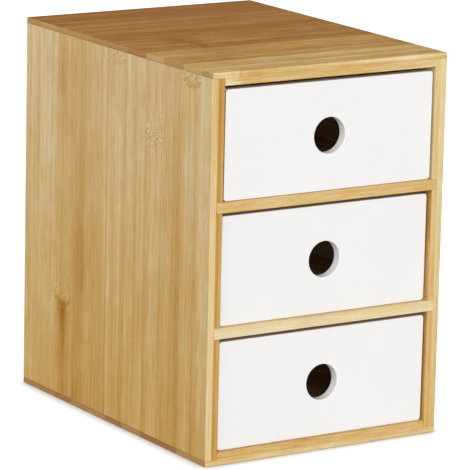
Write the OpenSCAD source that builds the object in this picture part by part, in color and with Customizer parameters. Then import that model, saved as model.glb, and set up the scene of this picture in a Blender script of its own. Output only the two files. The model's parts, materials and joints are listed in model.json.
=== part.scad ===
// Desktop cabinet with three small drawers, glued up from two-ply boards.
// The origin is the middle of the underside: X runs to the right, Y to the back, Z up, in millimetres.

/* [Cabinet] */
// Overall width of the cabinet
cabinet_w = 151; // [120:1:220]
// Overall depth of the cabinet, front to back
cabinet_d = 200; // [140:1:300]
// Overall height of the cabinet
cabinet_h = 215; // [170:1:320]
// Thickness of the top, bottom and side boards
board_t = 7.5; // [6:0.5:12]
// Thickness of the two shelves
shelf_t = 6; // [4:0.5:9]
// Thickness of the back panel
back_panel_t = 3; // [2:0.5:5]
// Distance from the cabinet's rear edge to the back panel
back_panel_inset = 4; // [2:0.5:8]
// Radius that eases the outer edges of the boards
board_ease = 0.6; // [0.2:0.1:1.5]

/* [Cabinet joints] */
// Thickness of the lip that the top and bottom boards keep over the ends of the sides
rabbet_lip = 3.25; // [2:0.25:5]
// Depth of the housings in the sides that take the ends of the shelves
housing_depth = 3.75; // [1:0.25:5]
// How far the back panel reaches into its groove
back_tongue = 4.05; // [1:0.05:4.5]
// Room left between an edge of a panel and the floor of its groove
groove_play = 0.2; // [0:0.05:0.5]

/* [Drawer fronts] */
// Thickness of a drawer front
front_t = 6; // [5:0.5:9]
// Gap between each end of a front and the side of its bay
end_gap = 1.2; // [0.3:0.1:2]
// Height of a front's lower edge over the floor of its bay
front_lift = 0.2; // [0.1:0.1:1]
// Gap between a front and the roof of its bay
top_gap = 2.2; // [0.6:0.1:4]
// Radius of the four corners of a front
corner_r = 1.8; // [0.5:0.1:6]
// Radius that eases the edges of a front's face
front_ease = 0.6; // [0.2:0.1:1.5]
// Diameter of the finger hole
finger_hole_d = 20; // [12:0.5:26]
// Radius that eases both rims of the finger hole
hole_ease = 0.6; // [0.2:0.1:1.5]

/* [Drawer boxes] */
// Thickness of a drawer's side boards
drawer_side_t = 5; // [4:0.5:8]
// Thickness of a drawer's back board
drawer_back_t = 5; // [4:0.5:8]
// Thickness of a drawer's bottom panel
drawer_bottom_t = 3; // [2:0.5:4]
// Height of the bottom panel over the runners, which are the lower edges of the sides
bottom_rise = 3; // [2:0.5:6]
// How far the bottom panel reaches into the boards around it
bottom_tongue = 2.3; // [1:0.1:3]
// How far the sides stand in from the ends of the front
box_inset = 0.2; // [0:0.1:2]
// How far the sides end below the front's upper edge
side_drop = 2; // [1:0.5:12]
// Thickness of the front that is left over the ends of the sides
front_lip = 2; // [1:0.5:3]
// Number of fingers in the comb joints at the rear corners
finger_count = 5; // [3:2:9]
// Radius that eases the upper edges of the sides and the back
drawer_ease = 0.5; // [0.2:0.1:1.2]

/* [Brads] */
// Number of brads through each side into the front
brads_per_side = 2; // [1:1:4]
// Diameter of a brad's shank
brad_d = 1.2; // [0.8:0.1:1.6]
// Length of a brad
brad_l = 14; // [8:1:25]
// Diameter of a brad's countersunk head
brad_head_d = 2.2; // [1.8:0.1:3]

/* [Places of the drawers] */
// Distance from the cabinet's front to a front that is pushed home
closed_recess = 2.8; // [0:0.1:8]
// How far the top drawer stands out from its closed place
top_drawer_out = 1.8; // [0:0.1:60]
// How far the middle drawer stands out from its closed place
middle_drawer_out = 0; // [0:0.1:60]
// How far the bottom drawer stands out from its closed place
bottom_drawer_out = 0.9; // [0:0.1:60]

/* [Hidden] */
$fn = 48;

bamboo = "#d8b678";
bamboo_ply = "#c9a262";
white_lacquer = "#f4f3f1";
steel = "#b9bcc0";

drawer_count = 3;
over = 1; // how far a cutter runs past the face it cuts

// The cabinet
front_y = -cabinet_d / 2;
bay_w = cabinet_w - 2 * board_t;
bay_h = (cabinet_h - 2 * board_t - (drawer_count - 1) * shelf_t) / drawer_count;
side_board_h = cabinet_h - 2 * rabbet_lip;
back_panel_y = cabinet_d / 2 - back_panel_inset - back_panel_t;
bay_l = back_panel_y - front_y;

// A drawer: y = 0 is the face of its front and z = 0 the shelf that it slides on
front_w = bay_w - 2 * end_gap;
front_h = bay_h - front_lift - top_gap;
box_w = front_w - 2 * box_inset;
box_h = front_lift + front_h - side_drop;
box_l = bay_l - closed_recess;
inner_w = box_w - 2 * drawer_side_t;
finger_h = box_h / finger_count;
drawer_out = [top_drawer_out, middle_drawer_out, bottom_drawer_out];

// Height of the floor of bay i, counted from the top
function bay_floor(i) = board_t + (drawer_count - i) * (bay_h + shelf_t);

// ---- shared shapes ----

// What an eased corner loses, for a corner at the origin
module corner_waste(r) {
    difference() {
        translate([-over, -over]) square(r + over);
        translate([r, r]) circle(r);
    }
}

// Rectangle with its own radius at each corner, counted anticlockwise from the origin
module eased_rect(w, h, radii) {
    corners = [[0, 0], [w, 0], [w, h], [0, h]];
    difference() {
        square([w, h]);
        for (i = [0 : 3])
            if (radii[i] > 0)
                translate(corners[i]) rotate(90 * i) corner_waste(radii[i]);
    }
}

// Carries a profile drawn in width and height from the front to the back
module along_depth(length) {
    translate([0, length, 0]) rotate([90, 0, 0]) linear_extrude(length) children();
}

// Carries a profile drawn in depth and height from left to right
module along_width(length) {
    rotate([90, 0, 90]) linear_extrude(length) children();
}

// Board whose edges are eased in plan, as seen from the front and as seen from the side
module eased_board(size, plan, front, side) {
    intersection() {
        linear_extrude(size.z) eased_rect(size.x, size.y, plan);
        along_depth(size.y) eased_rect(size.x, size.z, front);
        along_width(size.x) eased_rect(size.y, size.z, side);
    }
}

// ---- cabinet ----

// Back panel, or with play the room for it in the boards around it
module back_panel_block(play) {
    reach = back_tongue + play;
    translate([-bay_w / 2 - reach, back_panel_y, board_t - reach])
        cube([bay_w + 2 * reach, back_panel_t, cabinet_h - 2 * (board_t - reach)]);
}

// Shelf under bay i, or with overrun the housings for it, open at the front of the sides
module shelf_block(i, overrun) {
    shelf_w = bay_w + 2 * housing_depth;
    translate([-shelf_w / 2, front_y - overrun, bay_floor(i) - shelf_t])
        cube([shelf_w, bay_l + overrun, shelf_t]);
}

// Top board with its inner face at z = 0, rabbeted over the ends of both sides
module rabbeted_board() {
    all_round = [board_ease, board_ease, board_ease, board_ease];
    outer_only = [0, 0, board_ease, board_ease];
    difference() {
        translate([-cabinet_w / 2, front_y, 0])
            eased_board([cabinet_w, cabinet_d, board_t], all_round, outer_only, outer_only);
        for (end = [0, 1])
            mirror([end, 0, 0])
                translate([bay_w / 2, front_y - over, -over])
                    cube([board_t + over, cabinet_d + 2 * over, board_t - rabbet_lip + over]);
    }
}

module side_board() {
    difference() {
        translate([-cabinet_w / 2, front_y, rabbet_lip])
            linear_extrude(side_board_h)
                eased_rect(board_t, cabinet_d, [board_ease, 0, 0, board_ease]);
        for (i = [1 : drawer_count - 1]) shelf_block(i, over);
        back_panel_block(groove_play);
    }
}

module top_panel() {
    color(bamboo) difference() {
        translate([0, 0, cabinet_h - board_t]) rabbeted_board();
        back_panel_block(groove_play);
    }
}

module bottom_panel() {
    color(bamboo) difference() {
        translate([0, 0, board_t]) mirror([0, 0, 1]) rabbeted_board();
        back_panel_block(groove_play);
    }
}

module left_side() {
    color(bamboo) side_board();
}

module right_side() {
    color(bamboo) mirror([1, 0, 0]) side_board();
}

module upper_shelf() {
    color(bamboo) shelf_block(1, 0);
}

module lower_shelf() {
    color(bamboo) shelf_block(2, 0);
}

module back_panel() {
    color(bamboo_ply) back_panel_block(0);
}

// ---- drawers ----

module at_drawer(i) {
    translate([0, front_y + closed_recess - drawer_out[i - 1], bay_floor(i)]) children();
}

// Bottom panel, or with play the grooves for it in the four boards around it
module bottom_block(play) {
    reach = bottom_tongue + play;
    translate([-inner_w / 2 - reach, front_t - reach, bottom_rise])
        cube([inner_w + 2 * reach, box_l - drawer_back_t - front_t + 2 * reach, drawer_bottom_t]);
}

// Countersunk brad along +Z, with the face of its head at z = 0
module brad() {
    head_r = brad_head_d / 2;
    shank_r = brad_d / 2;
    rotate_extrude()
        polygon([[0, 0], [head_r, 0], [shank_r, head_r - shank_r], [shank_r, brad_l - brad_d], [0, brad_l]]);
}

// Both rows of brads, in the middle of the tongue that the front keeps between the sides
module brads() {
    spacing = box_h / brads_per_side;
    for (end = [0, 1])
        mirror([end, 0, 0])
            for (k = [0 : brads_per_side - 1])
                translate([-box_w / 2, (front_lip + front_t) / 2, (k + 0.5) * spacing])
                    rotate([0, 90, 0]) brad();
}

// Section through half of the finger hole, from the axis outwards and from face to face
module hole_section() {
    hole_r = finger_hole_d / 2;
    translate([0, -over]) square([hole_r, front_t + 2 * over]);
    for (face = [0, 1])
        translate([hole_r, face * front_t]) mirror([0, face])
            difference() {
                translate([-hole_ease, -over]) square([2 * hole_ease, hole_ease + over]);
                translate([hole_ease, hole_ease]) circle(hole_ease);
            }
}

module drawer_front(i) {
    outline = [corner_r, corner_r, corner_r, corner_r];
    color(white_lacquer) at_drawer(i) difference() {
        translate([-front_w / 2, 0, front_lift])
            eased_board([front_w, front_t, front_h],
                [front_ease, front_ease, 0, 0], outline, [front_ease, 0, 0, front_ease]);
        translate([0, 0, front_lift + front_h / 2]) rotate([-90, 0, 0])
            rotate_extrude() hole_section();
        for (end = [0, 1])
            mirror([end, 0, 0])
                translate([inner_w / 2, front_lip, -over])
                    cube([drawer_side_t + box_inset + over, front_t - front_lip + over, box_h + over]);
        bottom_block(groove_play);
        brads();
    }
}

// Side board on the left, with slots at its rear end for the fingers of the back
module drawer_side() {
    difference() {
        translate([-box_w / 2, front_lip, 0])
            along_depth(box_l - front_lip)
                eased_rect(drawer_side_t, box_h, [0, 0, drawer_ease, drawer_ease]);
        for (k = [1 : 2 : finger_count - 1])
            translate([-box_w / 2 - over, box_l - drawer_back_t, k * finger_h])
                cube([drawer_side_t + 2 * over, drawer_back_t + over, finger_h]);
        bottom_block(groove_play);
        brads();
    }
}

module drawer_left_side(i) {
    color(bamboo) at_drawer(i) drawer_side();
}

module drawer_right_side(i) {
    color(bamboo) at_drawer(i) mirror([1, 0, 0]) drawer_side();
}

// Back board between the sides, with the fingers that fill the slots of both
module drawer_back(i) {
    color(bamboo) at_drawer(i) difference() {
        translate([0, box_l - drawer_back_t, 0]) {
            translate([-inner_w / 2, 0, 0])
                along_width(inner_w)
                    eased_rect(drawer_back_t, box_h, [0, 0, drawer_ease, drawer_ease]);
            for (k = [1 : 2 : finger_count - 1])
                translate([-box_w / 2, 0, k * finger_h]) cube([box_w, drawer_back_t, finger_h]);
        }
        bottom_block(groove_play);
    }
}

module drawer_bottom(i) {
    color(bamboo_ply) at_drawer(i) bottom_block(0);
}

module drawer_brads(i) {
    color(steel) at_drawer(i) brads();
}

top_panel();
bottom_panel();
left_side();
right_side();
upper_shelf();
lower_shelf();
back_panel();
drawer_front(1);  // drawer_1_front
drawer_left_side(1);  // drawer_1_left_side
drawer_right_side(1);  // drawer_1_right_side
drawer_back(1);  // drawer_1_back
drawer_bottom(1);  // drawer_1_bottom
drawer_brads(1);  // drawer_1_brads
drawer_front(2);  // drawer_2_front
drawer_left_side(2);  // drawer_2_left_side
drawer_right_side(2);  // drawer_2_right_side
drawer_back(2);  // drawer_2_back
drawer_bottom(2);  // drawer_2_bottom
drawer_brads(2);  // drawer_2_brads
drawer_front(3);  // drawer_3_front
drawer_left_side(3);  // drawer_3_left_side
drawer_right_side(3);  // drawer_3_right_side
drawer_back(3);  // drawer_3_back
drawer_bottom(3);  // drawer_3_bottom
drawer_brads(3);  // drawer_3_brads
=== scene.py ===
import json
import math
import random

import bpy
from mathutils import Matrix, Vector


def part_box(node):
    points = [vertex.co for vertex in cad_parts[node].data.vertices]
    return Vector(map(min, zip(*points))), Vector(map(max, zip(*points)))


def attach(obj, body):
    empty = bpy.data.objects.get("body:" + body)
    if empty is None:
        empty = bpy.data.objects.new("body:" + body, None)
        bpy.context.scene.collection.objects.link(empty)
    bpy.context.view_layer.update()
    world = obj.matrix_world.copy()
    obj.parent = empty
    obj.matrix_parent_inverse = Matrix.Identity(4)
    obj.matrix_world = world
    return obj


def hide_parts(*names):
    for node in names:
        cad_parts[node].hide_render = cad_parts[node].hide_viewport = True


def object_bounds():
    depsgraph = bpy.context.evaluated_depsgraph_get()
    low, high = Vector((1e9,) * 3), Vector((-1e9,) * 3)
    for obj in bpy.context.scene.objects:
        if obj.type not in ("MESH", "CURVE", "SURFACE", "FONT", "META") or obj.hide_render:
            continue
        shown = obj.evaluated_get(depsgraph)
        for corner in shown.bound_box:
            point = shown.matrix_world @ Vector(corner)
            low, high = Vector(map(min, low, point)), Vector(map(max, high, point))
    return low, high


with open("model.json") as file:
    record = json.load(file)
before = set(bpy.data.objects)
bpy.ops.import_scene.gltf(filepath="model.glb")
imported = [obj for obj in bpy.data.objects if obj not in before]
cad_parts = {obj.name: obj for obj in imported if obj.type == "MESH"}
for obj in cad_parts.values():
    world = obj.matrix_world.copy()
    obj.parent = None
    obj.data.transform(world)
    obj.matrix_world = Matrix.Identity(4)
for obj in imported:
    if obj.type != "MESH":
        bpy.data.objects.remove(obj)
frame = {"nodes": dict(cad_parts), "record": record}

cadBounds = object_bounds()
mm = 0.001
record = frame["record"]
drawerNumbers = (1, 2, 3)  # 1 is the top drawer
print("frame loaded:", len(frame["nodes"]), "nodes")


cameraSetup = dict(
    azimuth=-32.750,  # degrees round the object, 0 looks at the fronts
    elevation=12.684,
    roll=1.332,
    distance=2.0237,
    target=(0.00450, 0.0, 0.09977),
    lens=274.22,
    sensor=36.0,
    nearest=0.05,
    farthest=50.0,
)

lamps = dict(
    key=dict(towards=(-0.41, -0.87, 0.27), strength=2.56, angle=50),  # in front, a little left and above
    side=dict(towards=(-0.97, -0.10, 0.18), strength=0.60, angle=50),  # lifts the left side alone
    fill=dict(towards=(0.70, 0.55, 0.45), strength=0.70, angle=70),  # lifts the right side and the back
    back=dict(towards=(0.12, 0.99, -0.05), strength=0.80, angle=40),  # lifts the back alone
)

stageSetup = dict(
    sky=0.34,  # even light from all round
    floorSize=12.0,
    floorColour=0.55,
    floorGlow=0.78,  # with the lamps this brings the paper just past white
    contactShadowReach=9 * mm,  # how far the painted contact shadow along the foot of the cabinet spreads
    contactShadowDepth=1.35,
)


def addCamera():
    azimuth = math.radians(cameraSetup["azimuth"])
    elevation = math.radians(cameraSetup["elevation"])
    roll = math.radians(cameraSetup["roll"])
    back = Vector((
        math.sin(azimuth) * math.cos(elevation),
        -math.cos(azimuth) * math.cos(elevation),
        math.sin(elevation),
    ))
    level = Vector((0, 0, 1)).cross(back).normalized()
    upright = back.cross(level)
    right = level * math.cos(roll) + upright * math.sin(roll)
    up = upright * math.cos(roll) - level * math.sin(roll)
    bpy.ops.object.camera_add(location=Vector(cameraSetup["target"]) + back * cameraSetup["distance"])
    camera = bpy.context.active_object
    camera.rotation_mode = "QUATERNION"
    camera.rotation_quaternion = Matrix((right, up, back)).transposed().to_quaternion()
    camera.data.lens = cameraSetup["lens"]
    camera.data.sensor_width = cameraSetup["sensor"]
    camera.data.clip_start = cameraSetup["nearest"]
    camera.data.clip_end = cameraSetup["farthest"]
    bpy.context.scene.camera = camera


def addSun(name, towards, strength, angle):
    bpy.ops.object.light_add(type="SUN")
    sun = bpy.context.active_object
    sun.name = name
    sun.rotation_mode = "QUATERNION"
    sun.rotation_quaternion = Vector(towards).to_track_quat("Z", "Y")
    sun.data.energy = strength
    sun.data.angle = math.radians(angle)


def feed(tree, node, inputs):
    # a socket of another node is linked, and anything else is set as the value
    for socket, value in inputs.items():
        if isinstance(value, bpy.types.NodeSocket):
            tree.links.new(value, node.inputs[socket])
        else:
            node.inputs[socket].default_value = value


def addNode(tree, kind, inputs=None, **settings):
    node = tree.nodes.new("ShaderNode" + kind)
    for name, value in settings.items():
        setattr(node, name, value)
    feed(tree, node, inputs or {})
    return node


def calc(tree, operation, *values, clamp=False):
    return addNode(tree, "Math", dict(enumerate(values)), operation=operation, use_clamp=clamp).outputs[0]


def vectorCalc(tree, operation, *vectors):
    node = addNode(tree, "VectorMath", dict(enumerate(vectors)), operation=operation)
    return node.outputs["Value" if operation in ("DOT_PRODUCT", "LENGTH") else "Vector"]


def split(tree, vector):
    return addNode(tree, "SeparateXYZ", {0: vector}).outputs


def combine(tree, *parts):
    return addNode(tree, "CombineXYZ", dict(enumerate(parts))).outputs[0]


def remap(tree, value, start, end, low=0.0, high=1.0):
    # low at the start, high at the end, and held beyond them
    return addNode(tree, "MapRange", {0: value, 1: start, 2: end, 3: low, 4: high}).outputs[0]


def bell(tree, value, fall=1.0):
    # 1 where the value is 0, and softly down to 0 on both sides
    return calc(tree, "EXPONENT", calc(tree, "MULTIPLY", calc(tree, "MULTIPLY", value, value), -fall))


def choose(tree, share, first, second):
    return addNode(tree, "Mix", {0: share, 2: first, 3: second}).outputs[0]


def mixColours(tree, share, first, second, blend="MIX"):
    mixed = addNode(tree, "Mix", {0: share, 6: first, 7: second}, data_type="RGBA", blend_type=blend)
    return mixed.outputs[2]


def newMaterial(name):
    material = bpy.data.materials.new(name)
    material.use_nodes = True
    return material, material.node_tree, material.node_tree.nodes["Principled BSDF"]


def seenDirectly(tree):
    # 1 for what the camera sees itself or through gloss and glass, 0 for light that bounces
    path = addNode(tree, "LightPath")
    seen = calc(tree, "MAXIMUM", path.outputs["Is Camera Ray"], path.outputs["Is Glossy Ray"])
    return calc(tree, "MAXIMUM", seen, path.outputs["Is Transmission Ray"])


def addStage():
    world = bpy.data.worlds.new("paleStudio")
    world.use_nodes = True
    bpy.context.scene.world = world
    tree = world.node_tree
    strength = choose(tree, seenDirectly(tree), stageSetup["sky"], 1.0)
    feed(tree, tree.nodes["Background"], {"Color": (1, 1, 1, 1), "Strength": strength})

    bpy.ops.mesh.primitive_plane_add(size=stageSetup["floorSize"], location=(0, 0, cadBounds[0].z))
    floor = bpy.context.active_object
    floor.name = "floor"
    bpy.ops.object.transform_apply(location=True, rotation=True, scale=True)
    paper, tree, shader = newMaterial("floorPaper")
    tree.nodes.remove(shader)
    shade = stageSetup["floorColour"]
    matt = addNode(tree, "BsdfDiffuse", {"Color": (shade, shade, shade, 1)})
    # a painted contact shadow: ambient occlusion dims the floor's glow near the cabinet
    contactShadow = addNode(tree, "AmbientOcclusion", {"Distance": stageSetup["contactShadowReach"]})
    contactShadow = calc(tree, "SUBTRACT", 1.0, contactShadow.outputs["AO"])
    contactShadow = calc(tree, "MULTIPLY_ADD", contactShadow, -stageSetup["contactShadowDepth"], 1.0, clamp=True)
    glow = calc(tree, "MULTIPLY", contactShadow, stageSetup["floorGlow"])
    glow = calc(tree, "MULTIPLY", seenDirectly(tree), glow)
    light = addNode(tree, "Emission", {"Color": (1, 1, 1, 1), "Strength": glow})
    lit = addNode(tree, "AddShader", {0: matt.outputs[0], 1: light.outputs[0]})
    clear = addNode(tree, "BsdfTransparent")
    under = addNode(tree, "NewGeometry").outputs["Backfacing"]  # from below the floor doesn't show
    both = addNode(tree, "MixShader", {0: under, 1: lit.outputs[0], 2: clear.outputs[0]})
    feed(tree, tree.nodes["Material Output"], {"Surface": both.outputs[0]})
    floor.data.materials.append(paper)


bpy.context.scene.view_settings.view_transform = "Standard"
addCamera()
for lampName, lamp in lamps.items():
    addSun(lampName + "Light", **lamp)
addStage()
print("camera, lights and floor are in place")


def newGroup(name, inputs, outputs):
    group = bpy.data.node_groups.new(name, "ShaderNodeTree")
    for socketName, kind, value in inputs:
        socket = group.interface.new_socket(name=socketName, in_out="INPUT", socket_type="NodeSocket" + kind)
        if value is not None:
            socket.default_value = value
    for socketName, kind in outputs:
        group.interface.new_socket(name=socketName, in_out="OUTPUT", socket_type="NodeSocket" + kind)
    return group, group.nodes.new("NodeGroupInput"), group.nodes.new("NodeGroupOutput")


squareOn = 0.7  # a face counts as cut across a direction when its normal points along it by more than this
outOfReach = 900.0  # a depth in millimetres that no board has


def grainFrameGroup():
    # turns a board's coordinates into millimetres along the grain, across the strips and through the plies
    group, given, result = newGroup(
        "grainFrame",
        [("Vector", "Vector", None), ("Normal", "Vector", None), ("Start", "Vector", None),
         ("Along", "Vector", None), ("Across", "Vector", None), ("Through", "Vector", None)],
        [("Grain", "Vector"), ("End", "Float"), ("Edge", "Float")],
    )
    fromStart = vectorCalc(group, "SUBTRACT", given.outputs["Vector"], given.outputs["Start"])
    parts = []
    for direction in ("Along", "Across", "Through"):
        reach = vectorCalc(group, "DOT_PRODUCT", fromStart, given.outputs[direction])
        parts.append(calc(group, "MULTIPLY", reach, 1 / mm))
    facings = {}
    for output, direction in (("End", "Along"), ("Edge", "Across")):
        facing = vectorCalc(group, "DOT_PRODUCT", given.outputs["Normal"], given.outputs[direction])
        facings[output] = calc(group, "GREATER_THAN", calc(group, "ABSOLUTE", facing), squareOn)
    feed(group, result, {"Grain": combine(group, *parts), **facings})
    return group


def stretchedNoise(tree, place, alongScale, acrossScale, detail, roughness=0.55):
    # noise from -1 to 1 whose grains are drawn out along the fibres
    scales = (alongScale, acrossScale, acrossScale)
    spot = combine(tree, *(calc(tree, "MULTIPLY", part, scale) for part, scale in zip(place, scales)))
    noise = addNode(tree, "TexNoise", {
        "Vector": spot, "Scale": 1.0, "Detail": detail, "Roughness": roughness})
    return calc(tree, "MULTIPLY_ADD", noise.outputs["Fac"], 2.0, -1.0)


# the layers of a board's figure: grains per millimetre along and across the fibres, detail and strength
boardFigure = dict(
    clouds=(0.03, 0.045, 2, 0.14),
    bands=(0.0025, 0.10, 2, 0.32),
    streaks=(0.0035, 0.36, 2, 0.20),
    blotches=(0.09, 0.30, 2, 0.10),
    lines=(0.016, 1.6, 2, 0.13),
    fibres=(0.06, 3.4, 2, 0.46),
    flecks=(0.50, 2.0, 1, 0.15),
    hairs=(0.007, 2.6, 1, -0.22),
)

boardCut = dict(
    caneLength=900.0,  # a strip is cut from anywhere along this
    seedStep=61.7,  # millimetres between the figures of two boards
    plyStep=330.0,  # and between those of the two plies
    hairsFrom=0.28,
    hairsTo=0.42,
    edgeCalm=0.35,  # how much weaker the figure is along the long edges
    seamCore=0.2,  # millimetres from the glue between the plies to where its dark line starts to fade
    seamReach=1.0,
    endSeam=0.12,
    endStreaks=0.06,
    bundles=1.25,  # dark fibre bundles per millimetre on the cut ends
    bundleCore=0.20,
    bundleReach=0.38,
    bundleDepth=0.16,
    fibreRelief=0.5,
    hairRelief=0.6,
)


def bambooBoardGroup():
    # the tone of pressed strips: broad bands, streaks, fibres, dark hairs and end grain
    values = boardCut
    group, given, result = newGroup(
        "bambooBoard",
        [("Grain", "Vector", None), ("End", "Float", 0.0), ("Edge", "Float", 0.0),
         ("Outer Tone", "Float", 0.7), ("Inner Tone", "Float", 0.7), ("End Tone", "Float", 0.5),
         ("Outer Edge", "Float", 0.8), ("Inner Edge", "Float", 0.7), ("Lining From", "Float", outOfReach),
         ("Lining Tone", "Float", 0.5), ("Ply", "Float", 4.0), ("Joint", "Float", outOfReach),
         ("Edge Joint", "Float", 0.05), ("Strip", "Float", 19.1), ("First Edge", "Float", 17.0),
         ("Seed", "Float", 0.0), ("Contrast", "Float", 1.0)],
        [("Tone", "Float"), ("Height", "Float")],
    )
    along, across, through = split(group, given.outputs["Grain"])
    strip = calc(group, "SUBTRACT", across, given.outputs["First Edge"])
    strip = calc(group, "FLOOR", calc(group, "DIVIDE", strip, given.outputs["Strip"]))
    inner = calc(group, "GREATER_THAN", through, given.outputs["Ply"])
    dice = combine(group, strip, inner, given.outputs["Seed"])
    chance = addNode(group, "TexWhiteNoise", {"Vector": dice}, noise_dimensions="3D").outputs["Value"]
    along = calc(group, "MULTIPLY_ADD", chance, values["caneLength"], along)
    shifted = calc(group, "MULTIPLY_ADD", given.outputs["Seed"], values["seedStep"], across)
    shifted = calc(group, "MULTIPLY_ADD", inner, values["plyStep"], shifted)

    layers = {}
    figure = 0.0
    for name, (alongScale, acrossScale, detail, strength) in boardFigure.items():
        layer = stretchedNoise(group, (along, shifted, through), alongScale, acrossScale, detail)
        if name == "hairs":
            layer = remap(group, layer, values["hairsFrom"], values["hairsTo"])
        figure = calc(group, "MULTIPLY_ADD", layer, strength, figure)
        layers[name] = layer

    face = choose(group, inner, given.outputs["Outer Tone"], given.outputs["Inner Tone"])
    # painted light and shade: from a depth in the board, the faces inside the cabinet take their own tones
    innerShaded = calc(group, "GREATER_THAN", through, given.outputs["Lining From"])
    face = choose(group, innerShaded, face, given.outputs["Lining Tone"])
    edge = choose(group, inner, given.outputs["Outer Edge"], given.outputs["Inner Edge"])
    tone = choose(group, given.outputs["Edge"], face, edge)
    calmer = calc(group, "MULTIPLY_ADD", given.outputs["Edge"], -values["edgeCalm"], 1.0)
    figure = calc(group, "MULTIPLY", figure, calmer)
    tone = calc(group, "MULTIPLY_ADD", figure, given.outputs["Contrast"], tone)

    # the glue between the plies darkens the wood beside it, along the edges and on the cut ends
    seam = calc(group, "ABSOLUTE", calc(group, "SUBTRACT", through, given.outputs["Joint"]))
    seam = remap(group, seam, values["seamCore"], values["seamReach"], 1.0, 0.0)
    seamDepth = calc(group, "MULTIPLY", given.outputs["Edge"], given.outputs["Edge Joint"])
    tone = calc(group, "SUBTRACT", tone, calc(group, "MULTIPLY", seam, seamDepth))

    # the cut ends show the dark fibre bundles as dots
    bundles = combine(group, calc(group, "MULTIPLY", across, values["bundles"]),
                      calc(group, "MULTIPLY", through, values["bundles"]))
    dots = addNode(group, "TexVoronoi", {"Vector": bundles, "Scale": 1.0}, voronoi_dimensions="2D")
    dots = remap(group, dots.outputs["Distance"], values["bundleCore"], values["bundleReach"], 1.0, 0.0)
    endTone = calc(group, "MULTIPLY_ADD", dots, -values["bundleDepth"], given.outputs["End Tone"])
    endTone = calc(group, "MULTIPLY_ADD", layers["streaks"], values["endStreaks"], endTone)
    endTone = calc(group, "MULTIPLY_ADD", seam, -values["endSeam"], endTone)
    tone = choose(group, given.outputs["End"], tone, endTone)

    relief = calc(group, "MULTIPLY", layers["hairs"], -values["hairRelief"])
    relief = calc(group, "MULTIPLY_ADD", layers["fibres"], values["fibreRelief"], relief)
    feed(group, result, {"Tone": tone, "Height": relief})
    return group


knuckleShape = dict(
    depth=3.5,  # millimetres that a knuckle reaches into the board
    rim=1.2,  # millimetres over which it fades at the edges of its strip
    swirlAlong=0.40,
    swirlAcross=0.46,
    swirlDetail=2.0,
    swirlTwist=1.5,
    pale=(0.53, 0.64),  # where the swirl turns pale
    dark=(0.49, 0.38),  # and where dark
    mottle=0.24,
    bandShift=0.55,  # the mottled band lies this share of its height above the knot line
    lineSag=3.5,  # the knot line hangs in a shallow curve across the strip
    lineDrop=1.5,
    lineWander=10.0,
    lineFall=0.6,
    tailReach=24.0,  # millimetres over which the tail fades to about a third
    tailStart=(-1.0, 6.0),  # millimetres below the knot line where it starts and is full
    tailLean=0.03,
    tailWander=6.0,
    tailWidth=0.50,  # as a share of the half width
    tailDepth=0.55,
    fray=(0.03, 0.8),  # grains per millimetre along and across the fibres
    frayStrength=1.6,
    frayMiddle=0.9,
    relief=1.5,
)


def wander(tree, value, swirl, reach):
    # moves a value up to half the reach to either side
    return calc(tree, "ADD", value, calc(tree, "MULTIPLY_ADD", swirl, reach, -reach / 2))


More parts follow.
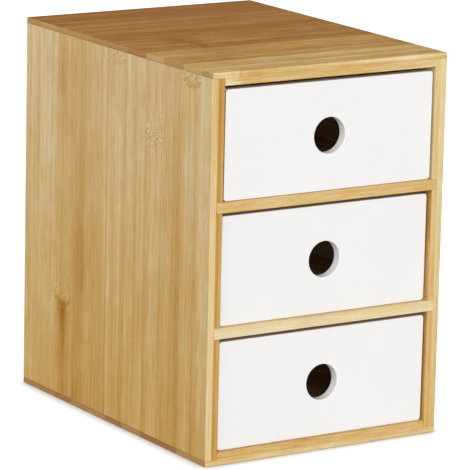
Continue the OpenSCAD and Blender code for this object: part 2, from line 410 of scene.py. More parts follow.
def bambooKnuckleGroup():
    # the knot line of a cane: a mottled band over one strip, with a dark tail along the grain
    values = knuckleShape
    group, given, result = newGroup(
        "bambooKnuckle",
        [("Grain", "Vector", None), ("Tone", "Float", 0.7), ("Height", "Float", 0.0), ("Along", "Float", 0.0),
         ("Across", "Float", 0.0), ("Half Width", "Float", 9.0), ("Band", "Float", 4.0),
         ("Line", "Float", -0.1), ("Tail", "Float", 0.0), ("Depth", "Float", 1.0)],
        [("Tone", "Float"), ("Height", "Float")],
    )
    along, across, through = split(group, given.outputs["Grain"])
    below = calc(group, "SUBTRACT", along, given.outputs["Along"])
    aside = calc(group, "SUBTRACT", across, given.outputs["Across"])
    edge = calc(group, "SUBTRACT", given.outputs["Half Width"], calc(group, "ABSOLUTE", aside))
    edge = remap(group, edge, 0.0, values["rim"])
    edge = calc(group, "MULTIPLY", edge, calc(group, "LESS_THAN", through, values["depth"]))

    spot = combine(group, calc(group, "MULTIPLY", below, values["swirlAlong"]),
                   calc(group, "MULTIPLY", aside, values["swirlAcross"]))
    swirl = addNode(group, "TexNoise", {"Vector": spot, "Scale": 1.0, "Detail": values["swirlDetail"],
                                        "Distortion": values["swirlTwist"]}).outputs["Fac"]
    pale = remap(group, swirl, *values["pale"], 0.0, values["mottle"])
    dark = remap(group, swirl, *values["dark"], 0.0, values["mottle"])
    share = calc(group, "DIVIDE", below, given.outputs["Band"])
    band = bell(group, calc(group, "ADD", share, values["bandShift"]))
    mottle = calc(group, "MULTIPLY", calc(group, "SUBTRACT", pale, dark), band)

    bend = calc(group, "DIVIDE", aside, given.outputs["Half Width"])
    bend = calc(group, "MULTIPLY", bend, bend)
    wave = calc(group, "SUBTRACT", below, values["lineDrop"])
    wave = calc(group, "MULTIPLY_ADD", bend, values["lineSag"], wave)
    line = bell(group, wander(group, wave, swirl, values["lineWander"]), values["lineFall"])
    mottle = calc(group, "MULTIPLY_ADD", line, given.outputs["Line"], mottle)

    dropped = calc(group, "DIVIDE", calc(group, "MAXIMUM", below, 0.0), -values["tailReach"])
    rising = remap(group, below, *values["tailStart"])
    dropped = calc(group, "MULTIPLY", calc(group, "EXPONENT", dropped), rising)
    lean = calc(group, "MULTIPLY_ADD", below, -values["tailLean"], aside)
    lean = wander(group, lean, swirl, values["tailWander"])
    halfTail = calc(group, "MULTIPLY", given.outputs["Half Width"], values["tailWidth"])
    narrow = bell(group, calc(group, "DIVIDE", lean, halfTail))
    frayed = stretchedNoise(group, (below, aside, through), *values["fray"], 2)
    frayed = calc(group, "MULTIPLY_ADD", frayed, values["frayStrength"], values["frayMiddle"], clamp=True)
    tail = calc(group, "MULTIPLY", dropped, calc(group, "MULTIPLY", narrow, frayed))
    tail = calc(group, "MULTIPLY", tail, given.outputs["Tail"])
    mottle = calc(group, "MULTIPLY_ADD", tail, -values["tailDepth"], mottle)

    change = calc(group, "MULTIPLY", calc(group, "MULTIPLY", mottle, edge), given.outputs["Depth"])
    relief = calc(group, "MULTIPLY", change, values["relief"])
    feed(group, result, {
        "Tone": calc(group, "ADD", given.outputs["Tone"], change),
        "Height": calc(group, "ADD", given.outputs["Height"], relief)})
    return group


stainShape = dict(
    grain=(0.02, 0.5),  # grains per millimetre along and across, for its ragged outline
    ragged=1.2,
    deepest=1.3,
)


def bambooStainGroup():
    # a long soft patch, darker for a depth over 0
    values = stainShape
    group, given, result = newGroup(
        "bambooStain",
        [("Grain", "Vector", None), ("Tone", "Float", 0.7), ("Along", "Float", 0.0), ("Across", "Float", 0.0),
         ("Length", "Float", 30.0), ("Width", "Float", 6.0), ("Depth", "Float", 0.1)],
        [("Tone", "Float")],
    )
    place = split(group, given.outputs["Grain"])
    spread = 0.0
    for axis, centre, reach in ((0, "Along", "Length"), (1, "Across", "Width")):
        offset = calc(group, "SUBTRACT", place[axis], given.outputs[centre])
        offset = calc(group, "DIVIDE", offset, given.outputs[reach])
        spread = calc(group, "MULTIPLY_ADD", offset, offset, spread)
    ragged = stretchedNoise(group, place, *values["grain"], 2)
    spread = calc(group, "ADD", spread, calc(group, "MULTIPLY", ragged, values["ragged"]))
    patch = calc(group, "EXPONENT", calc(group, "MULTIPLY", spread, -1.0))
    patch = calc(group, "MULTIPLY", calc(group, "MINIMUM", patch, values["deepest"]), given.outputs["Depth"])
    feed(group, result, {"Tone": calc(group, "SUBTRACT", given.outputs["Tone"], patch)})
    return group


glueShape = dict(
    core=0.15,  # millimetres from the middle of the line to where it starts to fade
    reach=0.45,
    grain=(0.03, 0.3),
    wearAndShade=0.8,
    full=0.8,
)


def glueLineGroup():
    # a fine dark joint between two strips
    values = glueShape
    group, given, result = newGroup(
        "glueLine",
        [("Grain", "Vector", None), ("Tone", "Float", 0.7), ("Across", "Float", 0.0),
         ("Depth", "Float", 0.2)],
        [("Tone", "Float")],
    )
    place = split(group, given.outputs["Grain"])
    away = calc(group, "ABSOLUTE", calc(group, "SUBTRACT", place[1], given.outputs["Across"]))
    line = remap(group, away, values["core"], values["reach"], 1.0, 0.0)
    wearAndShade = stretchedNoise(group, place, *values["grain"], 1)
    line = calc(group, "MULTIPLY", line, calc(group, "MULTIPLY_ADD", wearAndShade, values["wearAndShade"], values["full"]))
    line = calc(group, "MULTIPLY", line, given.outputs["Depth"])
    feed(group, result, {"Tone": calc(group, "SUBTRACT", given.outputs["Tone"], line)})
    return group


bambooLacquer = dict(
    shades=[  # tone, and the colour of the lacquered cane
        (0.00, (0.330, 0.138, 0.032)),
        (0.25, (0.445, 0.210, 0.055)),
        (0.50, (0.555, 0.310, 0.090)),
        (0.75, (0.665, 0.435, 0.168)),
        (1.00, (0.780, 0.625, 0.345)),
        (1.25, (0.850, 0.750, 0.520)),
    ],
    endTint=(0.955, 0.970, 1.0, 1),  # the cut ends look a little cooler
    roughness=0.86,
    toneGloss=0.10,  # pale cane shines a little more
    reliefGloss=0.05,
    bumpStrength=0.35,
    bumpDepth=0.05 * mm,
    specular=0.06,
)


def bambooPaletteGroup():
    # from the tone of the cane, dark to pale, to its lacquered colour
    values = bambooLacquer
    group, given, result = newGroup(
        "bambooPalette",
        [("Tone", "Float", 0.7), ("Height", "Float", 0.0), ("Bleach", "Float", 0.0), ("End", "Float", 0.0)],
        [("Color", "Color"), ("Roughness", "Float")],
    )
    shades = values["shades"]
    palest = shades[-1][0]
    ramp = addNode(group, "ValToRGB", {0: calc(group, "DIVIDE", given.outputs["Tone"], palest)})
    stops = ramp.color_ramp.elements
    while len(stops) < len(shades):
        stops.new(1.0)
    for stop, (position, colour) in zip(stops, shades):
        stop.position = position / palest
        stop.color = (*colour, 1)
    keep = calc(group, "SUBTRACT", 1.0, given.outputs["Bleach"])
    bleached = addNode(group, "HueSaturation", {"Color": ramp.outputs["Color"], "Saturation": keep})
    tinted = mixColours(
        group, given.outputs["End"], bleached.outputs["Color"], values["endTint"], "MULTIPLY")
    gloss = calc(group, "MULTIPLY_ADD", given.outputs["Tone"], -values["toneGloss"], values["roughness"])
    gloss = calc(group, "MULTIPLY_ADD", given.outputs["Height"], -values["reliefGloss"], gloss)
    feed(group, result, {"Color": tinted, "Roughness": gloss})
    return group


grainFrame = grainFrameGroup()
bambooBoard = bambooBoardGroup()
bambooKnuckle = bambooKnuckleGroup()
bambooStain = bambooStainGroup()
glueLine = glueLineGroup()
bambooPalette = bambooPaletteGroup()


def useGroup(tree, group, inputs):
    return addNode(tree, "Group", inputs, node_tree=group).outputs


axes = dict(x=Vector((1, 0, 0)), y=Vector((0, 1, 0)), z=Vector((0, 0, 1)))


def stripRamp(tree, across, span, tones, wood):
    # one flat step of tone for each strip, counted from the board's first edge
    ramp = addNode(tree, "ValToRGB", {0: calc(tree, "DIVIDE", across, span)})
    ramp.color_ramp.interpolation = "CONSTANT"
    stops = ramp.color_ramp.elements
    stops.remove(stops[1])
    stops[0].position = 0.0
    stops[0].color = (tones[0], tones[0], tones[0], 1)
    for count, tone in enumerate(tones[1:]):
        stop = stops.new(min(1.0, (wood["firstEdge"] + count * wood["strip"]) / span))
        stop.color = (tone, tone, tone, 1)
    return ramp.outputs["Color"]


def liningRamp(tree, along, length, tones):
    # the painted light and shade of the face inside the cabinet, by millimetres along the grain
    ramp = addNode(tree, "ValToRGB", {0: calc(tree, "DIVIDE", along, length)})
    stops = ramp.color_ramp.elements
    stops.remove(stops[1])
    for count, (place, tone) in enumerate(tones):
        stop = stops[0] if count == 0 else stops.new(min(1.0, place / length))
        stop.position = min(1.0, place / length)
        stop.color = (tone, tone, tone, 1)
    return ramp.outputs["Color"]


def bambooMaterial(name, low, high, wood):
    # wood says which way the grain, the strips and the plies run: an axis, and + or - for its sense
    material, tree, shader = newMaterial(name)
    start = Vector((0, 0, 0))
    directions = {}
    for part in ("along", "across", "through"):
        sense, axis = wood[part]
        corner = low if sense == "+" else high
        start += axes[axis] * corner.dot(axes[axis])
        directions[part.capitalize()] = axes[axis] * (1 if sense == "+" else -1)
    coordinates = addNode(tree, "TexCoord").outputs
    grain = useGroup(tree, grainFrame, {
        "Vector": coordinates["Object"], "Normal": coordinates["Normal"], "Start": start, **directions})
    along, across, through = split(tree, grain["Grain"])
    span = abs((high - low).dot(directions["Across"])) / mm
    length = abs((high - low).dot(directions["Along"])) / mm
    board = useGroup(tree, bambooBoard, {
        "Grain": grain["Grain"], "End": grain["End"], "Edge": grain["Edge"],
        "Outer Tone": stripRamp(tree, across, span, wood["outerTones"], wood),
        "Inner Tone": stripRamp(tree, across, span, wood["innerTones"], wood),
        "End Tone": stripRamp(tree, across, span, wood["endTones"], wood),
        "Outer Edge": wood["edgeTones"][0], "Inner Edge": wood["edgeTones"][1],
        "Lining From": wood["lining"], "Lining Tone": liningRamp(tree, along, length, wood["liningTones"]),
        "Ply": wood["ply"], "Joint": wood["joint"], "Edge Joint": wood["edgeJoint"], "Strip": wood["strip"],
        "First Edge": wood["firstEdge"], "Seed": wood["seed"], "Contrast": wood["contrast"]})
    tone = board["Tone"]
    height = board["Height"]
    for down, aside, band, line, tail, depth in wood["knuckles"]:
        knuckle = useGroup(tree, bambooKnuckle, {
            "Grain": grain["Grain"], "Tone": tone, "Height": height, "Along": down, "Across": aside,
            "Half Width": wood["strip"] / 2, "Band": band, "Line": line, "Tail": tail, "Depth": depth})
        tone = knuckle["Tone"]
        height = knuckle["Height"]
    for down, aside, halfLength, halfWidth, depth in wood["stains"]:
        tone = useGroup(tree, bambooStain, {
            "Grain": grain["Grain"], "Tone": tone, "Along": down, "Across": aside,
            "Length": halfLength, "Width": halfWidth, "Depth": depth})["Tone"]
    for aside, depth in wood["glueLines"]:
        tone = useGroup(tree, glueLine, {
            "Grain": grain["Grain"], "Tone": tone, "Across": aside, "Depth": depth})["Tone"]
    share = calc(tree, "MULTIPLY_ADD", along, 1 / length, -0.5)
    inner = calc(tree, "GREATER_THAN", through, wood["ply"])
    edgeFade = choose(tree, inner, wood["edgeFades"][0], wood["edgeFades"][1])
    fade = choose(tree, grain["Edge"], wood["fade"], edgeFade)
    tone = calc(tree, "MULTIPLY_ADD", share, fade, tone)
    bleach = calc(tree, "MULTIPLY_ADD", share, wood["bleachFade"], wood["bleach"])
    bleach = choose(tree, grain["Edge"], bleach, wood["edgeBleach"])
    bleach = choose(tree, grain["End"], bleach, wood["endBleach"])
    colour = useGroup(tree, bambooPalette, {
        "Tone": tone, "Height": height, "Bleach": bleach, "End": grain["End"]})
    bump = addNode(tree, "Bump", {
        "Strength": bambooLacquer["bumpStrength"], "Distance": bambooLacquer["bumpDepth"], "Height": height})
    feed(tree, shader, {
        "Base Color": colour["Color"], "Roughness": colour["Roughness"], "Normal": bump.outputs["Normal"],
        "Specular IOR Level": bambooLacquer["specular"]})
    return material


chanceTones = dict(outerTones=(0.74, 0.07), innerTones=(0.66, 0.08), endTones=(0.46, 0.10))  # middle, spread


def throwTones(seed, middle, spread, count=11):
    dice = random.Random(seed)
    return [round(middle + dice.uniform(-spread, spread), 3) for strip in range(count)]


def wood(**changes):
    made = dict(
        along="+z", across="-y", through="+x", outerTones=None, innerTones=None, endTones=None,
        edgeTones=(0.84, 0.74), lining=outOfReach, liningTones=((0.0, 0.5),), joint=outOfReach,
        edgeJoint=0.05, ply=3.6, strip=19.1, firstEdge=17.0, seed=1.0, contrast=1.0, knuckles=(), stains=(),
        glueLines=(), fade=0.0, edgeFades=(0.0, 0.0), bleach=0.0, bleachFade=0.0, edgeBleach=-0.02,
        endBleach=0.07,
    )
    made.update(changes)
    # strips whose tones aren't given get them by chance, the same in each run
    for step, (part, (middle, spread)) in enumerate(chanceTones.items()):
        made[part] = made[part] or throwTones(int(made["seed"] * 10) + step, middle, spread)
    return made


# tones run from 0, dark, to 1, pale, and strip tones from the back edge of a board to the front, or along its
# across direction; edge tones are for the outer and the inner ply, where a long edge shows both;
# joint is the depth of the glue between the plies, and edgeJoint how dark it is on the long edges;
# painted light and shade on the faces inside the cabinet starts at a depth in the board, with tones by
# millimetres along it;
# knuckles are along, across, band, line, tail, depth, and stains are along, across, length, width, depth;
# a fade is what the tone, or the bleaching, gains from one end of the grain to the other, and edgeFades are
# the same for the edges of the outer and the inner ply
woods = dict(
    topPanel=wood(
        along="+x", across="-y", through="-z", seed=3.0, contrast=1.25, ply=3.3, joint=3.2,
        edgeTones=(0.81, 0.67), edgeFades=(0.04, 0.04), lining=7.3, liningTones=[(0, 0.30)], bleach=-0.025,
        outerTones=[0.00, 0.10, 0.21, 0.28, 0.11, 0.23, 0.27, 0.53, 0.46, 0.70, 0.67],
        endTones=[0.48, 0.58, 0.51, 0.50, 0.43, 0.45, 0.32, 0.69, 0.50, 0.70, 0.50],
        knuckles=[(40, 121, 7, -0.30, 0.0, 1.3), (20, 196, 5, 0.0, 0.0, 0.7), (62, 103, 9, 0.0, 0.0, 0.7)],
        stains=[
            (37, 108, 9, 14, 0.16), (60, 100, 14, 6, -0.10), (80, 100, 26, 8, 0.05), (9, 199, 9, 3, -0.32),
            (126, 199, 22, 3, -0.18), (45, 146, 22, 7, 0.08), (35, 165, 16, 5, 0.09),
            (105, 176, 30, 6, -0.06), (149, 150, 4, 50, 0.12), (100, 86, 28, 8, 0.06),
            (60, 40, 26, 7, -0.06), (120, 16, 24, 7, 0.05)],
        glueLines=[(36, 0.12), (55, 0.20), (73.3, -0.14), (74.3, 0.34), (94, 0.06), (113, 0.08), (151, 0.15),
                   (165, 0.15)],
    ),
    bottomPanel=wood(
        along="+x", across="-y", through="+z", seed=5.0, ply=3.4, joint=3.2, edgeTones=(0.86, 0.80),
        contrast=1.5, lining=7.3, liningTones=[(0, 0.80)],
        endTones=[0.40, 0.38, 0.27, 0.43, 0.47, 0.27, 0.47, 0.23, 0.25, 0.50, 0.50],
    ),
    leftSide=wood(
        along="-z", across="-y", through="+x", seed=2.0, ply=3.5, contrast=0.80, joint=4.7,
        edgeTones=(0.885, 0.575), edgeJoint=0.20, edgeFades=(0.16, -0.02), edgeBleach=-0.04,
        outerTones=[0.85, 0.775, 0.715, 0.655, 0.76, 0.765, 0.805, 0.78, 0.70, 0.785, 0.86],
        lining=7.3, liningTones=[(0, 0.55)], fade=-0.15, bleachFade=-0.10,
        knuckles=[(153, 44.5, 7.0, -0.27, 1.45, 0.85), (44, 141.4, 8.5, 0.0, 0.0, 1.1),
                  (5, 179, 4.0, -0.16, 0.0, 1.3), (5, 102, 3.5, -0.08, 0.0, 0.9)],
        stains=[
            (118, 62, 50, 5.0, 0.20), (25, 43, 18, 4.5, 0.15), (112, 164, 45, 5.0, 0.10),
            (140, 129, 16, 3.0, 0.08), (185, 46, 30, 7.0, 0.08), (62, 26, 45, 12.0, -0.04),
            (150, 44.5, 22, 7.0, 0.05), (62, 100, 40, 40.0, -0.04), (50, 90.5, 50, 2.0, 0.09),
            (70, 114.5, 60, 2.0, 0.09), (8, 195, 30, 5.0, 0.08), (155, 195, 60, 6.0, -0.07)],
        glueLines=[(91.9, 0.20), (111.4, 0.16), (149.5, 0.18), (71.2, 0.08), (131.4, 0.06)],
    ),
    rightSide=wood(
        along="-z", across="-y", through="-x", seed=7.0, ply=3.9, contrast=0.85, edgeTones=(0.885, 0.84),
        edgeFades=(-0.14, -0.14), edgeBleach=-0.04, lining=7.3,
        # painted light and shade on the inner face, paler in the top bay than in the two below
        liningTones=[(0, 0.95), (67, 0.95), (73, 0.36), (100, 0.42), (103, 0.60), (135, 0.62), (142, 0.46),
                     (208, 0.55)],
        outerTones=[0.74, 0.79, 0.70, 0.76, 0.80, 0.73, 0.78, 0.71, 0.77, 0.74, 0.82],
        knuckles=[(70, 64.7, 6, -0.12, 0.7, 1.1), (128, 122, 6, -0.10, 0.4, 1.0),
                  (185, 26, 5, -0.12, 0.2, 0.9)],
        stains=[(90, 84, 50, 6, 0.12), (150, 140, 40, 5, 0.10), (70, 200, 3.0, 4, -0.12)],
        glueLines=[(55.2, 0.15), (131.6, 0.18)],
    ),
    # the shelves' lower faces take a dark tone, a painted shade for the gaps above the drawer fronts
    upperShelf=wood(
        along="+x", across="-y", through="+z", seed=11.0, ply=9.0, edgeTones=(0.83, 0.83), edgeBleach=-0.05,
        outerTones=[0.30] * 11, lining=5.8, liningTones=[(0, 0.85)],
    ),
    lowerShelf=wood(
        along="+x", across="-y", through="+z", seed=13.0, ply=9.0, edgeTones=(1.03, 1.03), edgeBleach=0.0,
        outerTones=[0.30] * 11, lining=5.8, liningTones=[(0, 1.0)],
    ),
    backPanel=wood(
        along="-z", across="+x", through="-y", seed=17.0, ply=9.0, strip=24.0, firstEdge=11.0,
        outerTones=[0.66, 0.72, 0.64, 0.70, 0.74, 0.66, 0.70],
        knuckles=[(58, 71, 5, -0.12, 0.3, 0.9), (149, 23, 5, -0.12, 0.5, 0.9),
                  (120, 119, 4.0, -0.10, 0.0, 0.8)],
    ),
)


frontPaint = dict(
    face=((0.865, 0.855, 0.845, 1), (0.900, 0.892, 0.884, 1)),
    cloudScale=28.0,
    cloudDetail=3.0,
    # the wall of the finger hole is paler than the face: a painted highlight
    hole=(0.985, 0.970, 0.945, 1),
    holeHighlightMargin=2 * mm,  # how far past the hole's radius its painted highlight may reach
    wallFacing=0.5,  # the wall of the hole faces front or back by less than this
    edgeShade=(0.64, 0.56, 0.46, 1),  # painted shade on the upper edge, for the shadow in the gap above the front
    deepEdgeShade=(0.38, 0.29, 0.20, 1),  # and deeper painted shade at the ends of the front
    edgeShadeFacing=(0.75, 0.95),
    edgeShadeClouds=0.4,
    edgeShadeAtEnds=0.6,
    peelScale=900.0,
    peelDetail=2.0,
    peelRange=(0.3, 0.7),
    roughness=(0.33, 0.41),
    edgeShadeRoughness=0.4,
    bumpStrength=0.12,
    bumpDepth=0.03 * mm,
)


def fingerHole(number):
    # the middle of a front's hole and its radius, in metres
    hole = next(mount for mount in record["mounts"] if mount["name"] == f"finger_hole_{number}")
    return Vector(hole["pos_m"]), hole["dims"]["r_mm"] * mm


def lacquerMaterial(number):
    values = frontPaint
    material, tree, shader = newMaterial(f"whiteLacquer{number}")
    coordinates = addNode(tree, "TexCoord").outputs
    place = coordinates["Object"]
    cloud = addNode(tree, "TexNoise", {
        "Vector": place, "Scale": values["cloudScale"], "Detail": values["cloudDetail"]}).outputs["Fac"]
    face = mixColours(tree, cloud, *values["face"])
    # a painted highlight lightens the wall of the finger hole, and painted shade darkens the upper and side
    # edges
    centre, radius = fingerHole(number)
    fromAxis = vectorCalc(tree, "SUBTRACT", place, centre)
    fromAxis = vectorCalc(tree, "LENGTH", vectorCalc(tree, "MULTIPLY", fromAxis, (1, 0, 1)))
    inHole = calc(tree, "LESS_THAN", fromAxis, radius + values["holeHighlightMargin"])
    facing = split(tree, coordinates["Normal"])
    endways = calc(tree, "ABSOLUTE", facing[0])
    wall = calc(tree, "LESS_THAN", calc(tree, "ABSOLUTE", facing[1]), values["wallFacing"])
    # the wall of the hole takes the paler colour, a painted highlight
    faceWithLitHole = mixColours(tree, calc(tree, "MULTIPLY", wall, inHole), face, values["hole"])
    # the upper and side edges take a darker colour, a painted shade, deepest at the ends
    outward = remap(tree, calc(tree, "MAXIMUM", facing[2], endways), *values["edgeShadeFacing"])
    edgeShade = calc(tree, "MULTIPLY", outward, calc(tree, "SUBTRACT", 1.0, inHole))
    wearAndShade = calc(tree, "MULTIPLY", endways, values["edgeShadeAtEnds"])
    wearAndShade = calc(tree, "MULTIPLY_ADD", cloud, values["edgeShadeClouds"], wearAndShade)
    colour = mixColours(tree, edgeShade, faceWithLitHole, mixColours(tree, wearAndShade, values["edgeShade"], values["deepEdgeShade"]))
    peel = addNode(tree, "TexNoise", {
        "Vector": place, "Scale": values["peelScale"], "Detail": values["peelDetail"]}).outputs["Fac"]
    gloss = remap(tree, peel, *values["peelRange"], *values["roughness"])
    gloss = calc(tree, "MULTIPLY_ADD", edgeShade, values["edgeShadeRoughness"], gloss)
    bump = addNode(tree, "Bump", {
        "Strength": values["bumpStrength"], "Distance": values["bumpDepth"], "Height": peel})
    feed(tree, shader, {"Base Color": colour, "Roughness": gloss, "Normal": bump.outputs["Normal"]})
    return material


bradFinish = dict(
    colours=((0.42, 0.42, 0.43, 1), (0.66, 0.66, 0.67, 1)),
    scuffScale=2500.0,
    scuffDetail=2.0,
    roughness=0.38,
)


def steelMaterial():
    values = bradFinish
    material, tree, shader = newMaterial("bradSteel")
    scuff = addNode(tree, "TexNoise", {
        "Vector": addNode(tree, "TexCoord").outputs["Object"],
        "Scale": values["scuffScale"], "Detail": values["scuffDetail"]}).outputs["Fac"]
    feed(tree, shader, {
        "Metallic": 1.0, "Roughness": values["roughness"],
        "Base Color": mixColours(tree, scuff, *values["colours"])})
    return material


bradSteel = steelMaterial()
print("materials are mixed")


def addBlock(name, low, high):
    bpy.ops.object.select_all(action="DESELECT")
    bpy.ops.mesh.primitive_cube_add(size=1, location=(low + high) / 2, scale=high - low)
    block = bpy.context.active_object
    block.name = name
    bpy.ops.object.transform_apply(location=True, rotation=False, scale=True)
    return block


def cutAway(piece, cutter):
    cut = piece.modifiers.new("cut", "BOOLEAN")
    cut.operation = "DIFFERENCE"
    cut.solver = "EXACT"
    cut.object = cutter
    bpy.context.view_layer.objects.active = piece
    bpy.ops.object.modifier_apply(modifier="cut")
    bpy.data.objects.remove(cutter)


def seatBox(node, **more):
    # the box of a neighbour, grown to each side by its play or past a face that the cut runs out of
    low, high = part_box(node)
    low = low - Vector((more.get("left", 0), more.get("front", 0), more.get("down", 0)))
    high = high + Vector((more.get("right", 0), more.get("back", 0), more.get("up", 0)))
    return low, high


def cutSeat(piece, node, **more):
    cutAway(piece, addBlock("cutter", *seatBox(node, **more)))


def pickEdges(piece, wanted):
    bpy.context.view_layer.objects.active = piece
    bpy.ops.object.mode_set(mode="EDIT")
    bpy.ops.mesh.select_mode(type="EDGE")
    bpy.ops.mesh.select_all(action="DESELECT")
    bpy.ops.object.mode_set(mode="OBJECT")
    points = piece.data.vertices
    for edge in piece.data.edges:
        edge.select = wanted(points[edge.vertices[0]].co, points[edge.vertices[1]].co)
    bpy.ops.object.mode_set(mode="EDIT")


def easeEdges(piece, radius, segments, wanted):
    pickEdges(piece, wanted)
    bpy.ops.mesh.bevel(offset=radius, segments=segments, affect="EDGES")
    bpy.ops.object.mode_set(mode="OBJECT")


pieceFinish = dict(hairline=0.12 * mm, sharpFrom=50, smoothBelow=40)


def smoothPiece(piece):
    # a hairline chamfer on what is still sharp, then shading that follows the big faces
    bevel = piece.modifiers.new("hairline", "BEVEL")
    bevel.width = pieceFinish["hairline"]
    bevel.segments = 1
    bevel.limit_method = "ANGLE"
    bevel.angle_limit = math.radians(pieceFinish["sharpFrom"])
    bpy.context.view_layer.objects.active = piece
    bpy.ops.object.modifier_apply(modifier="hairline")
    bpy.ops.object.select_all(action="DESELECT")
    piece.select_set(True)
    bpy.ops.object.shade_smooth_by_angle(angle=math.radians(pieceFinish["smoothBelow"]))
    weighted = piece.modifiers.new("weighted", "WEIGHTED_NORMAL")
    weighted.keep_sharp = True
    bpy.ops.object.modifier_apply(modifier="weighted")


def settlePiece(piece, node, material):
    piece.data.materials.clear()
    piece.data.materials.append(material)
    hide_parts(node)
    body = next(name for name, nodes in record["behaviour"]["bodies"].items() if node in nodes)
    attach(piece, body)


def finishBoard(board, node, low, high):
    material = bambooMaterial(board.name, low, high, woods[board.name])
    smoothPiece(board)
    settlePiece(board, node, material)


def near(a, b, tolerance=0.01 * mm):
    return abs(a - b) < tolerance


cabinetBoards = dict(edgeRadius=0.6 * mm, edgeSegments=4, grooveSlack=0.2 * mm, overrun=2 * mm)


def outerEdge(low, high, faces):
    # true for an edge that lies on two outer faces of the box, each named by its axis and side
    def wanted(a, b):
        onFaces = 0
        for axis, side in faces:
            limit = (low if side == "low" else high)[axis]
            if near(a[axis], limit) and near(b[axis], limit):
                onFaces += 1
        return onFaces >= 2
    return wanted


def cutBackGroove(board):
    # the groove is as wide as the back panel is thick, and a little deeper than the panel reaches
    slack = cabinetBoards["grooveSlack"]
    cutSeat(board, "back_panel", left=slack, right=slack, down=slack, up=slack)


def makeEndBoard(name, node, outerSide):
    values = cabinetBoards
    low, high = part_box(node)
    board = addBlock(name, low, high)
    faces = [(0, "low"), (0, "high"), (1, "low"), (1, "high"), (2, outerSide)]
    easeEdges(board, values["edgeRadius"], values["edgeSegments"], outerEdge(low, high, faces))
    away = values["overrun"]
    past = dict(front=away, back=away)
    past["down" if outerSide == "high" else "up"] = away
    cutSeat(board, "left_side", left=away, **past)
    cutSeat(board, "right_side", right=away, **past)
    cutBackGroove(board)
    finishBoard(board, node, low, high)


def makeSideBoard(name, node, outerSide):
    values = cabinetBoards
    low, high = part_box(node)
    board = addBlock(name, low, high)
    faces = [(0, outerSide), (1, "low"), (1, "high")]
    easeEdges(board, values["edgeRadius"], values["edgeSegments"], outerEdge(low, high, faces))
    for shelf in ("upper_shelf", "lower_shelf"):
        cutSeat(board, shelf, front=values["overrun"])
    cutBackGroove(board)
    finishBoard(board, node, low, high)


def makeSeatedPanel(name, node):
    # the shelves and the back panel go into their seats as they are
    low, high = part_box(node)
    finishBoard(addBlock(name, low, high), node, low, high)


makeEndBoard("topPanel", "top_panel", "high")
makeEndBoard("bottomPanel", "bottom_panel", "low")
makeSideBoard("leftSide", "left_side", "low")
makeSideBoard("rightSide", "right_side", "high")
makeSeatedPanel("upperShelf", "upper_shelf")
makeSeatedPanel("lowerShelf", "lower_shelf")
makeSeatedPanel("backPanel", "back_panel")
print("cabinet is glued up")


# the top drawer is modelled, and the other two are copies of it
drawerFront = dict(
    cornerRadius=1.8 * mm, cornerSegments=8, faceRadius=0.35 * mm, faceSegments=4,
    holeSteps=96, rimRadius=0.6 * mm, rimSegments=5,
)


def makeDrawerFront():
    values = drawerFront
    low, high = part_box("drawer_1_front")
    front = addBlock("drawer1Front", low, high)
    thickness = high.y - low.y
    centre, radius = fingerHole(1)

    def uprightEdge(a, b):
        return near(a.x, b.x) and near(a.z, b.z)

    def faceEdge(a, b):
        return near(a.y, low.y) and near(b.y, low.y)

    def rimEdge(a, b):
        reach = max((point - centre).length for point in (a, b))
        return near(a.y, b.y) and reach < radius + thickness

    easeEdges(front, values["cornerRadius"], values["cornerSegments"], uprightEdge)
    easeEdges(front, values["faceRadius"], values["faceSegments"], faceEdge)
    bpy.ops.object.select_all(action="DESELECT")
    bpy.ops.mesh.primitive_cylinder_add(
        vertices=values["holeSteps"], radius=radius, depth=3 * thickness, location=centre,
        rotation=(math.pi / 2, 0, 0))
    cutAway(front, bpy.context.active_object)
    easeEdges(front, values["rimRadius"], values["rimSegments"], rimEdge)
    away = cabinetBoards["overrun"]
    cutSeat(front, "drawer_1_left_side", left=away, down=away)
    cutSeat(front, "drawer_1_right_side", right=away, down=away)
    cutBottomGroove(front)
    return front


drawerBox = dict(
    fingers=5, topRadius=0.5 * mm, topSegments=4, grooveSlack=0.2 * mm,
    sinkSteps=32, sinkReach=2,  # the cone that cuts a countersink is this many head radii wide and deep
)


def cutBottomGroove(piece):
    slack = drawerBox["grooveSlack"]
    cutSeat(piece, "drawer_1_bottom", left=slack, right=slack, front=slack, back=slack)


def makeDrawerSide(hand):
    values = drawerBox
    low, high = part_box(f"drawer_1_{hand}_side")
    side = addBlock(f"drawer1{hand.capitalize()}Side", low, high)

    def topEdge(a, b):
        return near(a.z, high.z) and near(b.z, high.z) and near(a.x, b.x)

    easeEdges(side, values["topRadius"], values["topSegments"], topEdge)
    backLow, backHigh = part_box("drawer_1_back")
    height = (high.z - low.z) / values["fingers"]
    away = cabinetBoards["overrun"]
    for finger in range(1, values["fingers"], 2):
        slotLow = Vector((low.x - away, backLow.y, low.z + finger * height))
        slotHigh = Vector((high.x + away, high.y + away, slotLow.z + height))
        cutAway(side, addBlock("cutter", slotLow, slotHigh))
    cutBottomGroove(side)
    bradLow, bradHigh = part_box("drawer_1_brads")
    headRadius = (bradHigh.y - bradLow.y) / 2
    sink = values["sinkReach"] * headRadius
    face = low.x if hand == "left" else high.x
    turn = math.pi / 2 if hand == "left" else -math.pi / 2
    for height in (bradLow.z + headRadius, bradHigh.z - headRadius):
        bpy.ops.object.select_all(action="DESELECT")
        bpy.ops.mesh.primitive_cone_add(
            vertices=values["sinkSteps"], radius1=sink, radius2=0, depth=sink,
            location=(face, bradLow.y + headRadius, height), rotation=(0, turn, 0))
        cutAway(side, bpy.context.active_object)
    return side


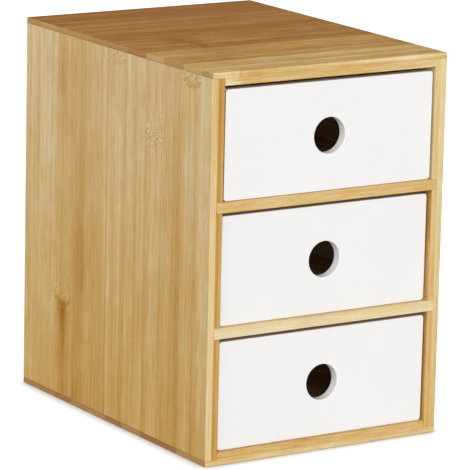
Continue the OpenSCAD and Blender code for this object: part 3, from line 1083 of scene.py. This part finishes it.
def makeDrawerBack():
    values = drawerBox
    low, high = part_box("drawer_1_back")
    back = addBlock("drawer1Back", low, high)

    def topEdge(a, b):
        return near(a.z, high.z) and near(b.z, high.z) and near(a.y, b.y)

    easeEdges(back, values["topRadius"], values["topSegments"], topEdge)
    height = (high.z - low.z) / values["fingers"]
    away = cabinetBoards["overrun"]
    for hand in ("left", "right"):
        sideLow, sideHigh = seatBox(f"drawer_1_{hand}_side", back=away, **{hand: away})
        for finger in range(0, values["fingers"], 2):
            bottom = low.z + finger * height
            above = away if finger == values["fingers"] - 1 else 0
            under = away if finger == 0 else 0
            slotLow = Vector((sideLow.x, low.y - away, bottom - under))
            slotHigh = Vector((sideHigh.x, sideHigh.y, bottom + height + above))
            cutAway(back, addBlock("cutter", slotLow, slotHigh))
    cutBottomGroove(back)
    return back


def copyPiece(pattern, name, shift):
    bpy.ops.object.select_all(action="DESELECT")
    pattern.select_set(True)
    bpy.context.view_layer.objects.active = pattern
    bpy.ops.object.duplicate(linked=False)
    piece = bpy.context.active_object
    piece.name = name
    piece.data.name = name
    bpy.ops.transform.translate(value=shift)
    bpy.ops.object.transform_apply(location=True, rotation=False, scale=False)
    return piece


drawerWoods = dict(
    side=dict(
        along="+y", across="+z", through="+x", ply=outOfReach, strip=20.0, firstEdge=20.0, bleach=0.03,
        outerTones=[0.76, 0.68, 0.78], edgeTones=(0.78, 0.78)),
    back=dict(
        along="+x", across="+z", through="+y", ply=outOfReach, strip=20.0, firstEdge=20.0, bleach=0.08,
        outerTones=[0.82, 0.88, 0.78], edgeTones=(0.80, 0.80)),
    bottom=dict(
        along="+y", across="+x", through="-z", ply=outOfReach, strip=24.0, firstEdge=3.0, contrast=0.8,
        bleach=0.08, outerTones=[0.70, 0.76, 0.68, 0.72, 0.76, 0.70, 0.73]),
)


def drawerWood(number, part, node):
    low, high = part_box(node)
    values = dict(drawerWoods[part], seed=20.0 + 3.0 * number)  # each drawer is cut from other cane
    return bambooMaterial(f"drawer{number}{part.capitalize()}Wood", low, high, wood(**values))


patterns = dict(
    front=makeDrawerFront(), left_side=makeDrawerSide("left"), right_side=makeDrawerSide("right"),
    back=makeDrawerBack(), bottom=addBlock("drawer1Bottom", *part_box("drawer_1_bottom")),
)
for pattern in patterns.values():
    smoothPiece(pattern)

for number in drawerNumbers:
    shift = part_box(f"drawer_{number}_front")[0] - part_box("drawer_1_front")[0]
    sideWood = drawerWood(number, "side", f"drawer_{number}_left_side")
    materials = dict(
        front=lacquerMaterial(number), left_side=sideWood, right_side=sideWood,
        back=drawerWood(number, "back", f"drawer_{number}_back"),
        bottom=drawerWood(number, "bottom", f"drawer_{number}_bottom"),
    )
    for part, pattern in patterns.items():
        piece = pattern
        if number > 1:
            piece = copyPiece(pattern, pattern.name.replace("1", str(number)), shift)
        settlePiece(piece, f"drawer_{number}_{part}", materials[part])
    brads = frame["nodes"][f"drawer_{number}_brads"]
    brads.data.materials.clear()
    brads.data.materials.append(bradSteel)
print("drawers are in their bays")
